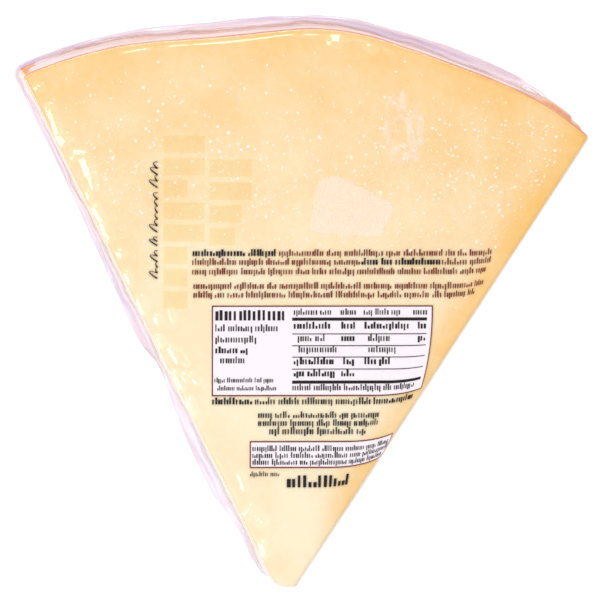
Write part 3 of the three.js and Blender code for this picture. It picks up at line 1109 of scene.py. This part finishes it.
# Lines of type: left, right, foot, height of a small stroke, and whether it is light 0, bold 1 or title 2.
FACTS_TYPE = (
    (2.5, 11.9, 72.1, 1.1, 0), (14.2, 18.4, 72.1, 1.1, 0), (20.0, 29.4, 72.1, 1.1, 0),
    (32.4, 35.9, 72.1, 1.1, 0), (2.5, 11.6, 68.6, 1.2, 1), (14.4, 17.9, 68.6, 1.2, 1),
    (3.5, 10.4, 65.5, 1.2, 0), (14.4, 17.9, 65.5, 1.2, 1), (3.7, 13.1, 62.7, 1.2, 0),
    (2.5, 12.4, 59.7, 1.2, 1), (14.9, 17.9, 59.7, 1.2, 1), (2.5, 12.9, 56.7, 1.2, 1),
    (14.4, 17.9, 56.7, 1.2, 1), (20.2, 31.1, 68.6, 1.2, 1), (33.6, 35.9, 68.6, 1.2, 1),
    (21.1, 26.9, 65.5, 1.2, 0), (33.6, 35.7, 65.5, 1.2, 1), (21.2, 28.1, 62.7, 1.2, 0),
    (20.2, 27.1, 59.7, 1.2, 1), (2.2, 34.4, 53.2, 1.1, 0), (-17.1, -1.2, 68.0, 1.2, 0),
    (-17.1, -6.6, 65.2, 1.2, 0), (-17.1, -8.4, 62.5, 1.2, 1), (-15.9, -9.2, 60.0, 1.2, 0),
    (-17.3, -2.2, 55.2, 0.85, 0), (-16.6, -1.7, 53.2, 0.85, 0),
)
TITLE_TYPE = ((-17.1, 0.8, 70.7, 2.3, 2),)
BROWN_TYPE = (
    (-1.2, 52.8, 86.8, 1.15, 0), (-22.9, 19.2, 84.6, 1.15, 0), (39.6, 52.8, 84.6, 1.15, 0),
    (-22.9, 51.8, 82.2, 1.15, 0), (-22.6, 51.6, 78.6, 1.15, 0), (-22.6, 49.6, 76.4, 1.15, 0),
)
DARK_TYPE = (
    (-22.8, -1.4, 86.8, 1.2, 1), (19.4, 39.2, 84.6, 1.2, 1), (-17.9, -7.6, 49.7, 1.2, 1),
    (-7.2, 25.6, 49.7, 1.2, 0), (25.9, 34.4, 49.7, 1.2, 1), (-6.4, 24.3, 46.3, 1.15, 0),
    (-6.4, 24.1, 44.3, 1.15, 0), (-3.6, 21.3, 42.2, 1.25, 0), (-7.8, 29.4, 38.0, 1.0, 0),
    (-7.8, 29.6, 36.3, 1.0, 0), (-7.8, 28.2, 34.6, 1.0, 0), (-8.4, -0.9, 31.7, 0.85, 0),
    (0.8, 17.1, 28.9, 2.1, 1),
)
TYPE_HEIGHT = 1.15  # of the small type that the next sizes are for
STROKE_PITCH = (0.62, 0.6944, 0.6076)  # light, bold and title
STROKE_WIDTH = (0.33, 0.46, 0.33)
WORDS = (2, 3, 4, 5, 5, 6, 7, 8, 9)  # letters in a word, of two strokes each
WORD_GAP = 0.9  # between words, in shares of the pitch
# How far a stroke's width and the pitch vary, as shares.
WIDTH_RANGE = (0.75, 1.2)
PITCH_RANGE = (0.85, 1.15)
# Strokes of other heights: the draws that give them, and their foot and top, as shares of the plain one.
TALL_STROKES = (0, 0.2, 0, 1.42)
SHORT_STROKES = (0.55, 0.68, 0, 0.62)
LOW_STROKES = (0.92, 1, -0.35, 1)
TALL_TITLE_STROKES = (0, 0.2, 0, 1.12)


def type_line(stamps, line, draw):
    """Fills a line with upright strokes in groups of word length. They spell nothing."""
    left, right, foot, height, boldness = line
    size = height / TYPE_HEIGHT
    pitch = STROKE_PITCH[boldness] * size
    kinds = (TALL_TITLE_STROKES,) if boldness == 2 else (TALL_STROKES, SHORT_STROKES, LOW_STROKES)
    at = left
    while at < right - pitch * 0.4:
        strokes = draw.choice(WORDS) * 2
        if right - (at + strokes * pitch) < 3 * pitch:
            strokes = round((right - at) / pitch)
        for _ in range(strokes):
            if at > right:
                break
            width = STROKE_WIDTH[boldness] * size * draw.uniform(*WIDTH_RANGE)
            drawn = draw.random()
            bottom, top = 0, 1
            for low, high, kind_bottom, kind_top in kinds:
                if low <= drawn <= high:
                    bottom, top = kind_bottom, kind_top
            stamps.add_bar(at, at + width, foot + bottom * height, foot + top * height)
            at += pitch * draw.uniform(*PITCH_RANGE)
        at += pitch * WORD_GAP


class CHEESE_OT_print_panels(bpy.types.Operator):
    """Print the white panels"""

    bl_idname = "cheese.print_panels"
    bl_label = "Panels"

    def execute(self, context):
        settings = context.scene.print_settings
        stamps = Stamps(settings.depth + PANEL_UNDER)
        for box in (FACTS_PANEL, NOTE_PANEL):
            stamps.add_bar(*box, columns=60, rows=30)
        ink = ink_material("white_flexo_ink", settings.white_ink)
        stamps.make("white_panels", ink, "white_print", lay_on_film)
        return {"FINISHED"}


class CHEESE_OT_print_type(bpy.types.Operator):
    """Print the rules and the lines of plain strokes that stand for type"""

    bl_idname = "cheese.print_type"
    bl_label = "Rules and type"

    def execute(self, context):
        settings = context.scene.print_settings
        draw = random.Random(7)
        dark = Stamps(settings.depth)
        for line in (*TITLE_TYPE, *FACTS_TYPE, *DARK_TYPE):
            type_line(dark, line, draw)
        for heights, width in RULES:
            for v in heights:
                dark.add_bar(RULES_LEFT, RULES_RIGHT, v - width / 2, v + width / 2, columns=36)
        ink = ink_material("near_black_flexo_ink", settings.dark_ink)
        dark.make("dark_type", ink, "dark_print", lay_on_film)
        brown = Stamps(settings.depth)
        for line in BROWN_TYPE:
            type_line(brown, line, draw)
        for box in (FACTS_PANEL, NOTE_PANEL):
            brown.add_outline(*box)
        ink = ink_material("red_brown_flexo_ink", settings.brown_ink)
        brown.make("brown_type", ink, "brown_print", lay_on_film)
        return {"FINISHED"}


# Columns of pale blocks: left, right, lowest, highest, in millimetres in print coordinates.
BLOCK_COLUMNS = ((-30.1, -19.9, 73.75, 117.0), (-18.6, -8.1, 89.5, 111.2))
BLOCK_PITCH = 5.4
BLOCK_HEIGHT = 4.3
BLOCK_SHORTER = (0, 0, 2.6, 4.2)  # how much shorter than its column a block is, drawn for each


class CHEESE_OT_print_blocks(bpy.types.Operator):
    """Print the two columns of large pale blocks"""

    bl_idname = "cheese.print_blocks"
    bl_label = "Pale blocks"

    def execute(self, context):
        settings = context.scene.print_settings
        stamps = Stamps(settings.depth + BLOCK_UNDER)
        draw = random.Random(11)
        for left, right, lowest, highest in BLOCK_COLUMNS:
            rows = round((highest - lowest) / BLOCK_PITCH)
            pitch = (highest - lowest + BLOCK_PITCH - BLOCK_HEIGHT) / rows
            for row in range(rows):
                low = lowest + row * pitch
                short = draw.choice(BLOCK_SHORTER)
                stamps.add_bar(left, right - short, low, low + BLOCK_HEIGHT, columns=8, rows=4)
        stamps.make("pale_blocks", pale_ink_material(settings), "pale_print", lay_on_film)
        return {"FINISHED"}


# The pen line: its ends along V, its middle in U, the pitch of its loops and its width, in millimetres.
PEN_START, PEN_END, PEN_MIDDLE = 81.2, 110.3, -32.5
PEN_PITCH = 1.55
PEN_WIDTH = 0.32
PEN_WORDS = (0.24, 0.07, 0.34, 0.22)  # shares of the line's length
PEN_HEIGHTS = (0.4, 0.55, 0.7, 0.9, 1.6)  # of its loops, in millimetres
PEN_CAPITAL = 1.8
LOOP_STEPS = 14


def pen_word(start, length, draw):
    """The middle of one word's stroke, in millimetres, and its width there. The first loop is tall."""
    loops = max(2, round(length / PEN_PITCH))
    t = np.linspace(0, 1, loops * LOOP_STEPS + 1)
    turn = 2 * math.pi * loops * t
    heights = np.repeat([draw.choice(PEN_HEIGHTS) for _ in range(loops)], LOOP_STEPS)
    heights = np.append(heights, heights[-1])
    heights[:LOOP_STEPS] = PEN_CAPITAL
    rise = heights * (1 - np.cos(turn)) / 2
    u = PEN_MIDDLE + 0.9 - rise * 1.15
    v = start + length * t + 0.55 * rise - 0.16 * np.sin(turn)
    return np.column_stack([u, v]), PEN_WIDTH * (0.75 + 0.35 * np.sin(turn + 0.6))


def ribbon(line, widths, depth):
    """Points and faces of a flat, closed ribbon of ink along a line."""
    along = np.gradient(line, axis=0)
    along /= np.linalg.norm(along, axis=1)[:, None]
    across = np.stack([-along[:, 1], along[:, 0]], axis=-1) * widths[:, None] / 2
    left, right = (line + across) * MM, (line - across) * MM
    rows = len(line)
    corners = ((left, depth), (right, depth), (right, depth + INK), (left, depth + INK))
    points = [np.column_stack([side, np.full(rows, -deep)]) for side, deep in corners]
    faces = []
    for i in range(rows - 1):
        for a, b in ((0, 1), (1, 2), (2, 3), (3, 0)):
            faces.append((a * rows + i, b * rows + i, b * rows + i + 1, a * rows + i + 1))
    for i in (0, rows - 1):
        faces.append(tuple(a * rows + i for a in range(4)))
    return np.concatenate(points), faces


class CHEESE_OT_draw_pen_line(bpy.types.Operator):
    """Draw the upright line of pen strokes as one looping stroke for each word"""

    bl_idname = "cheese.draw_pen_line"
    bl_label = "Pen line"

    def execute(self, context):
        settings = context.scene.print_settings
        draw = random.Random(23)
        words = Copies()
        length = PEN_END - PEN_START
        gap = length * (1 - sum(PEN_WORDS)) / (len(PEN_WORDS) - 1)
        start = PEN_START
        for share in PEN_WORDS:
            line, widths = pen_word(start, length * share, draw)
            words.add(*ribbon(line, widths, settings.depth))
            start += length * share + gap
        ink = ink_material("black_pen_ink", settings.dark_ink)
        words.make("pen_line", ink, "dark_print", lay_on_film)
        return {"FINISHED"}


# Air under the film.

AIR_DEPTH = 0.26 * MM
AIR_THICKNESS = 0.02 * MM
AIR_COVER = 0.45
LEAST_COVER = 0.02
AIR_MARGIN = 2  # in millimetres, round a patch's corners
AIR_STEPS = 90


def loose_sheet(patch):
    """The sheet of one loose patch, laid under the film, without the faces that would hide nothing."""
    us, vs = zip(*patch[0])
    piece = add_grid(AIR_STEPS, AIR_STEPS)
    points = get_points(piece)
    u = (min(us) + max(us)) / 2 + points[:, 0] * (max(us) - min(us) + AIR_MARGIN)
    v = (min(vs) + max(vs)) / 2 + points[:, 1] * (max(vs) - min(vs) + AIR_MARGIN)
    cover = AIR_COVER * loose_cover(u, v, *patch)
    set_points(piece, lay_on_film(np.column_stack([u * MM, v * MM, np.full(len(u), -AIR_DEPTH)])))
    set_attribute(piece, "cover", cover)
    of_faces = [max(cover[i] for i in face.vertices) for face in piece.data.polygons]
    delete_faces(piece, np.array(of_faces) < LEAST_COVER)
    return piece


def air_material(settings):
    """Film that no longer clings: air behind it scatters the light, so it looks milky."""
    material, tree = new_material("milky_loose_film")
    cover = add_node(tree, "Attribute", output="Fac", attribute_name="cover")
    clear = add_node(tree, "BsdfTransparent")
    # The milky sheet's glow of 0.07 is painted light: an emission for the light bounced between the loose
    # film and the paste.
    milky = milky_sheet_and_painted_light(tree, settings.loose, 0.5, 0.07)
    shader = add_node(tree, "MixShader", {0: cover, 1: clear, 2: milky})
    add_node(tree, "OutputMaterial", {"Surface": shader})
    return material


class CHEESE_OT_add_air(bpy.types.Operator):
    """Add the milky patches where the film has come away from the upper face"""

    bl_idname = "cheese.add_air"
    bl_label = "Pockets of air"

    def execute(self, context):
        sheets = [loose_sheet(patch) for patch in LOOSE_PATCHES]
        pick(*sheets)
        bpy.ops.object.join()
        piece = context.object
        apply_modifier(piece, "SOLIDIFY", thickness=AIR_THICKNESS, offset=0)
        finish(piece, "air_pockets", air_material(context.scene.film_settings))
        return {"FINISHED"}


# Crystals: where they are drawn, in print coordinates, the band up the print where most of them lie, with
# its half width, and the share of them that lies anywhere.
CRYSTAL_FIELD = ((-66, 74), (8, 140))
CRYSTAL_BAND = (106 * MM, 19 * MM)
STRAY_CRYSTALS = 0.06
CRYSTAL_EDGE = 3 * MM  # left free along the walls
CRYSTAL_FLATNESS = 0.06
CRYSTAL_STRETCH = (0.8, 1.25)
# A crystal's size in millimetres, and its whiteness: the least, what a draw adds, and the draw's power.
CRYSTAL_SIZES = (0.2, 0.58, 4)
CRYSTAL_TONES = (0.1, 0.8, 2)
WHITE_CRYSTAL = "#FFFAF0"


def skewed(draw, least, more, power):
    """A drawn number that is mostly near the least one."""
    return least + more * draw.random() ** power


class CHEESE_OT_scatter_crystals(bpy.types.Operator):
    """Scatter the small white crystals over the upper face"""

    bl_idname = "cheese.scatter_crystals"
    bl_label = "Crystals"

    def execute(self, context):
        settings = context.scene.cheese_settings
        sphere = bpy.ops.mesh.primitive_uv_sphere_add
        shape, facets = take_shape(add_primitive(sphere, segments=8, ring_count=4, radius=0.5))
        draw = random.Random(41)
        crystals = Copies()
        tones = []
        while len(tones) < settings.crystals:
            u, v = (draw.uniform(*span) * MM for span in CRYSTAL_FIELD)
            x, y = print_to_plan(u, v)
            here = np.array([x]), np.array([y])
            in_band = math.exp(-(((v - CRYSTAL_BAND[0]) / CRYSTAL_BAND[1]) ** 2))
            crowded = STRAY_CRYSTALS + (1 - STRAY_CRYSTALS) * in_band
            if from_nearest_wall(*here)[0] < CRYSTAL_EDGE or draw.random() > crowded:
                continue
            size = skewed(draw, *CRYSTAL_SIZES) * MM
            height = float(upper_film(*here)[0] - tents(*here)[0]) - TOP_GAP
            uneven = (*(draw.uniform(*CRYSTAL_STRETCH) for _ in range(2)), CRYSTAL_FLATNESS)
            crystals.add(shape * np.array(uneven) * size + AXIS + np.array([x, y, height]), facets)
            tones.append(np.full(len(shape), skewed(draw, *CRYSTAL_TONES)))
        crystals.make("crystals", crystal_material(settings), "paste", whiteness=tones)
        return {"FINISHED"}


def crystal_material(settings):
    """Crystals of calcium and amino acids: dry, chalky specks, from the paste's colour to white."""
    material, tree = new_material("chalky_crystals")
    whiteness = add_node(tree, "Attribute", output="Fac", attribute_name="whiteness")
    colour = {SHARE: whiteness, COLOUR_A: settings.pale_paste, COLOUR_B: linear(WHITE_CRYSTAL)}
    colour = add_node(tree, "Mix", colour, MIXED, data_type="RGBA")
    shader = add_node(tree, "BsdfPrincipled", {"Base Color": colour, "Roughness": 0.7})
    add_node(tree, "OutputMaterial", {"Surface": shader})
    return material


# The curled flap at the fin's right end: its turn about the wheel's axis, how far out and up it is, how
# it lies and leans, and the half lengths and half widths of its loops.
CURL_TURN = 23.6 * DEGREE
CURL_OUT = 1.8 * MM
CURL_UP = 1.2 * MM
CURL_LIE = CURL_TURN + 0.09
CURL_LEAN = 0.12
CURL_LOOPS = ((3.6 * MM, 1.5 * MM), (2.3 * MM, 0.85 * MM))
CURL_FOLD = 0.25 * MM
CURL_HALF_THICKNESS = 0.14 * MM
CURL_HALF_HEIGHT = 0.5 * MM
TUBE = 0.1  # the torus's minor radius, where its major radius is 1


def curl_loop(half_length, half_width):
    """A loop of film on edge: a torus, drawn out long and flattened."""
    torus = bpy.ops.mesh.primitive_torus_add
    loop = add_primitive(torus, major_segments=72, minor_segments=10, major_radius=1, minor_radius=TUBE)
    x, y, z = get_points(loop).T
    turn = np.arctan2(y, x)
    out = (np.hypot(x, y) - 1) / TUBE * CURL_HALF_THICKNESS
    along = (half_length + out) * np.cos(turn)
    across = (half_width + out) * np.sin(turn) + CURL_FOLD * np.cos(turn * 2)
    up = FIN_HEIGHT + CURL_UP + z / TUBE * CURL_HALF_HEIGHT + along * CURL_LEAN
    middle = polar(rind_radius(CURL_TURN) + CURL_OUT, CURL_TURN)
    x = middle[0] + along * math.cos(CURL_LIE) + across * math.sin(CURL_LIE)
    y = middle[1] - along * math.sin(CURL_LIE) + across * math.cos(CURL_LIE)
    set_points(loop, np.column_stack([x, y, up]) + AXIS)
    return loop


class CHEESE_OT_curl_flap(bpy.types.Operator):
    """Curl the loose flap at the fin's right end, as two nested loops of film on edge"""

    bl_idname = "cheese.curl_flap"
    bl_label = "Curled flap"

    def execute(self, context):
        pick(*[curl_loop(*loop) for loop in CURL_LOOPS])
        bpy.ops.object.join()
        piece = context.object
        count = len(piece.data.vertices)
        set_attribute(piece, "milky", np.full(count, 0.95))
        set_attribute(piece, "lilac", np.zeros(count))
        finish(piece, "curled_flap", film_material(context.scene.film_settings))
        return {"FINISHED"}


# The stage.

# The camera's aim on the upper face, in print coordinates, and where it stands from there: to the right,
# up the picture, and its roll.
AIM = (4.05 * MM, 75.8 * MM)
ASIDE = (-138 * MM, 116 * MM)
ROLL = -0.07 * DEGREE
SENSOR = 36
CLIP_END = 20
FLOOR_SIZE = 6
FLOOR_GAP = 0.3 * MM
# The black card hangs above every camera, so that it hides the wedge from none.
CARD_HEIGHT = 10.4
CARD_SIZE = 4.0
# The lights: their direction, to the right, up the picture and upwards, and their width and height.
LIGHT_DISTANCE = 1.4
KEY_LIGHT = ((-0.59, -0.37, 0.72), 0.7, 0.7)
RIM_LIGHT = ((0.05, 0.68, 0.73), 0.8, 0.4)


def picture_axes():
    """The picture's right and up in the frame."""
    return (
        Vector((math.cos(PRINT_TURN), math.sin(PRINT_TURN), 0)),
        Vector((-math.sin(PRINT_TURN), math.cos(PRINT_TURN), 0)),
    )


def look_at(position, target, up):
    """The turn that makes a camera or lamp at position face target."""
    back = (position - target).normalized()
    right = up.cross(back).normalized()
    return Matrix((right, back.cross(right), back)).transposed().to_euler()


def add_softbox(name, target, radiance, direction, width, height):
    """A white rectangle of light that faces target."""
    right, up = picture_axes()
    way = (right * direction[0] + up * direction[1] + Vector((0, 0, direction[2]))).normalized()
    position = target + way * LIGHT_DISTANCE
    turn = look_at(position, target, Vector((0, 0, 1)))
    bpy.ops.object.light_add(type="AREA", location=position, rotation=turn)
    lamp = bpy.context.object
    lamp.name = name
    lamp.data.shape = "RECTANGLE"
    lamp.data.size = width
    lamp.data.size_y = height
    lamp.data.energy = radiance * math.pi * width * height


def add_sheet(name, size, location, material):
    """A flat square sheet of the stage."""
    sheet = add_primitive(bpy.ops.mesh.primitive_plane_add, size=size, location=location)
    bpy.ops.object.transform_apply(location=True)
    sheet.name = name
    sheet.data.materials.append(material)


class CHEESE_OT_set_stage(bpy.types.Operator):
    """Set the floor, the lights and the camera"""

    bl_idname = "cheese.set_stage"
    bl_label = "Stage"

    def execute(self, context):
        settings = context.scene.stage_settings
        add_sheet("floor", FLOOR_SIZE, (0, 0, -FLOOR_GAP), floor_material(settings))
        world = bpy.data.worlds.new("white_room")
        world.use_nodes = True
        background = world.node_tree.nodes["Background"]
        background.inputs["Color"].default_value = (1, 1, 1, 1)
        background.inputs["Strength"].default_value = settings.room_light
        context.scene.world = world
        right, up = picture_axes()
        x, y = print_to_plan(*AIM)
        target = Vector((x + AXIS[0], y + AXIS[1], WEDGE_HEIGHT))
        add_softbox("key_light", target, settings.key_light, *KEY_LIGHT)
        add_softbox("rim_light", target, settings.rim_light, *RIM_LIGHT)
        # Where the flat film mirrors the camera's line of sight.
        aside = right * ASIDE[0] + up * ASIDE[1]
        mirrored = (Vector((0, 0, settings.distance)) - aside) / settings.distance
        add_sheet("black_card", CARD_SIZE, target + mirrored * CARD_HEIGHT, card_material())
        position = target + aside + Vector((0, 0, settings.distance))
        rolled_up = up * math.cos(ROLL) + right * math.sin(ROLL)
        bpy.ops.object.camera_add(location=position, rotation=look_at(position, target, rolled_up))
        camera = context.object
        camera.name = "camera"
        camera.data.lens = settings.focal_length
        camera.data.sensor_width = SENSOR
        camera.data.clip_end = CLIP_END
        context.scene.camera = camera
        context.scene.view_settings.view_transform = "Standard"
        return {"FINISHED"}


def card_material():
    """Matt black card over the wedge, so that the flat film mirrors nothing bright."""
    material, tree = new_material("matt_black_card")
    shader = add_node(tree, "BsdfDiffuse", {"Color": (0.01, 0.01, 0.01)})
    add_node(tree, "OutputMaterial", {"Surface": shader})
    return material


def floor_material(settings):
    """Matt white studio sweep, lit from below so that it takes no shadow."""
    material, tree = new_material("matt_white_sweep")
    surface = {
        "Base Color": settings.floor,
        "Roughness": 0.9,
        "Emission Color": (1, 1, 1),
        "Emission Strength": 0.82,
        "Normal": fine_bump(tree, 2.5 * MM, 2, 0.05, 0.2 * MM),
    }
    add_node(tree, "OutputMaterial", {"Surface": add_node(tree, "BsdfPrincipled", surface)})
    return material


OPERATORS = (
    CHEESE_OT_cut_wedge,
    CHEESE_OT_scatter_crystals,
    CHEESE_OT_add_air,
    CHEESE_OT_print_blocks,
    CHEESE_OT_print_panels,
    CHEESE_OT_print_type,
    CHEESE_OT_draw_pen_line,
    CHEESE_OT_wrap_film,
    CHEESE_OT_curl_flap,
    CHEESE_OT_set_stage,
)
SETTINGS = {
    "cheese_settings": CheeseSettings,
    "film_settings": FilmSettings,
    "print_settings": PrintSettings,
    "stage_settings": StageSettings,
}


class VIEW3D_PT_sealed_wedge(bpy.types.Panel):
    """The wedge's settings and the steps that build it"""

    bl_label = "Sealed Cheese Wedge"
    bl_space_type = "VIEW_3D"
    bl_region_type = "UI"
    bl_category = "Cheese"

    def draw(self, context):
        for name, group in SETTINGS.items():
            box = self.layout.box()
            for setting in group.__annotations__:
                box.prop(getattr(context.scene, name), setting)
        for operator in OPERATORS:
            self.layout.operator(operator.bl_idname)


def register():
    for group in (*SETTINGS.values(), *OPERATORS, VIEW3D_PT_sealed_wedge):
        bpy.utils.register_class(group)
    for name, group in SETTINGS.items():
        setattr(bpy.types.Scene, name, PointerProperty(type=group))


def unregister():
    for name in SETTINGS:
        delattr(bpy.types.Scene, name)
    for group in reversed((*SETTINGS.values(), *OPERATORS, VIEW3D_PT_sealed_wedge)):
        bpy.utils.unregister_class(group)


def main():
    register()
    for operator in OPERATORS:
        category, name = operator.bl_idname.split(".")
        getattr(getattr(bpy.ops, category), name)()


if __name__ == "__main__":
    main()
